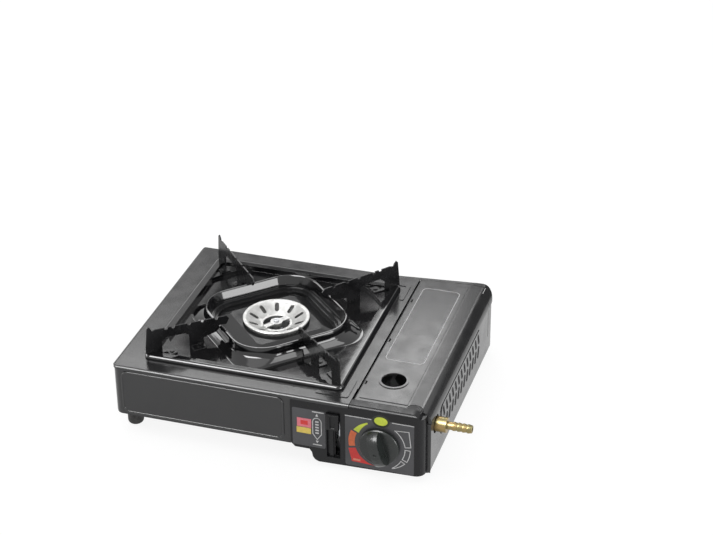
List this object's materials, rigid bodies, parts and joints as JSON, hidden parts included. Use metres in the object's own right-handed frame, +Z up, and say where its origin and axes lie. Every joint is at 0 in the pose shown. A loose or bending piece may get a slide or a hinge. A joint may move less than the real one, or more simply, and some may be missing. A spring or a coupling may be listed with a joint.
{
  "type": "butane cassette stove",
  "caption": "Portable table-top gas stove with a pressed steel case, lift-off pan support, hinged cartridge lid, turning gas knob and sliding lock lever.",
  "frame": {"origin": "on the table, under the middle of the whole object's bounding box", "axes": "+X to the stove's right, where the hose nozzle points; -Y to the front, where the knob is; +Z up"},
  "size_m": [0.38, 0.2939, 0.118],
  "materials": {
    "case_paint": "satin dark grey powder coat on pressed steel sheet",
    "tray_enamel": "high-gloss black enamel on pressed steel",
    "bezel_plastic": "fine-grained black plastic with a low sheen",
    "knob_plastic": "smooth black plastic",
    "label_film": "printed film with plain coloured fields",
    "burner_aluminium": "bright die-cast aluminium",
    "cast_aluminium": "plain die-cast aluminium",
    "plated_steel": "zinc-plated steel",
    "brass": "turned brass",
    "foot_rubber": "black moulded rubber",
    "igniter_plastic": "black moulded plastic",
    "red_plastic": "red moulded plastic",
    "pale_plastic": "natural acetal",
    "ceramic": "white glazed ceramic"
  },
  "bodies": {
    "case": {"lower_case": "case_paint", "top_panel": "case_paint", "heat_shield": "plated_steel", "front_bulkhead": "plated_steel", "control_bezel": "bezel_plastic", "lever_plate_label": "label_film", "dial_plate": "label_film", "hinge_pin": "plated_steel", "hinge_ears": "plated_steel", "burner_head": "burner_aluminium", "burner_base": "cast_aluminium", "burner_hub": "burner_aluminium", "hub_screw": "plated_steel", "mixing_tube": "cast_aluminium", "tube_saddle": "plated_steel", "burner_stand": "plated_steel", "burner_screws": "plated_steel", "gas_jet": "brass", "gas_tube": "brass", "regulator_body": "cast_aluminium", "diaphragm_cover": "cast_aluminium", "cover_screws": "plated_steel", "regulator_screws": "plated_steel", "cartridge_inlet": "brass", "inlet_seal": "foot_rubber", "hose_nozzle": "brass", "nozzle_nut": "brass", "piezo_igniter": "igniter_plastic", "ignition_lead": "red_plastic", "electrode_ceramic": "ceramic", "electrode_pin": "plated_steel", "electrode_bracket": "plated_steel", "lever_guide": "bezel_plastic", "rod_guides": "plated_steel", "cartridge_cradle": "plated_steel", "heat_plate": "cast_aluminium", "bezel_screws": "plated_steel", "tall_feet": "foot_rubber", "short_feet": "foot_rubber", "foot_screws": "plated_steel", "floor_rivets": "plated_steel"},
    "lid": {"cartridge_lid": "case_paint"},
    "pan_support": {"drip_tray": "tray_enamel", "fin_front_left": "tray_enamel", "fin_front_right": "tray_enamel", "fin_rear_right": "tray_enamel", "fin_rear_left": "tray_enamel", "fin_rivets": "plated_steel"},
    "knob_body": {"knob": "knob_plastic", "valve_spindle": "brass", "igniter_cam": "pale_plastic"},
    "plunger_body": {"igniter_plunger": "red_plastic"},
    "lever": {"lever_thumb": "bezel_plastic", "lever_slide_plate": "plated_steel"},
    "carriage": {"cartridge_carriage": "plated_steel", "carriage_pin": "plated_steel"}
  },
  "joints": [
    {"name": "lid_hinge", "type": "hinge", "parent": "case", "child": "lid", "pos_m": [0.0723, 0, 0.07925], "axis": [0, -1, 0], "range_deg": [0, 95]},
    {"name": "pan_support_lift", "type": "slide", "parent": "case", "child": "pan_support", "axis": [0, 0, 1], "range_m": [0, 0.06]},
    {"name": "knob_turn", "type": "hinge", "parent": "case", "child": "knob_body", "pos_m": [0.102, -0.129, 0.039], "axis": [0, -1, 0], "range_deg": [0, 110]},
    {"name": "igniter_plunger_slide", "type": "slide", "parent": "case", "child": "plunger_body", "axis": [-1, 0, 0], "range_m": [0, 0.005]},
    {"name": "lever_slide", "type": "slide", "parent": "case", "child": "lever", "axis": [0, 0, -1], "range_m": [0, 0.028]},
    {"name": "carriage_slide", "type": "slide", "parent": "case", "child": "carriage", "axis": [0, -1, 0], "range_m": [0, 0.008]}
  ],
  "couplings": [
    {"joint": "igniter_plunger_slide", "follows": "knob_turn", "m_per_rad": 0.0026043},
    {"joint": "carriage_slide", "follows": "lever_slide", "ratio": 0.28571}
  ]
}
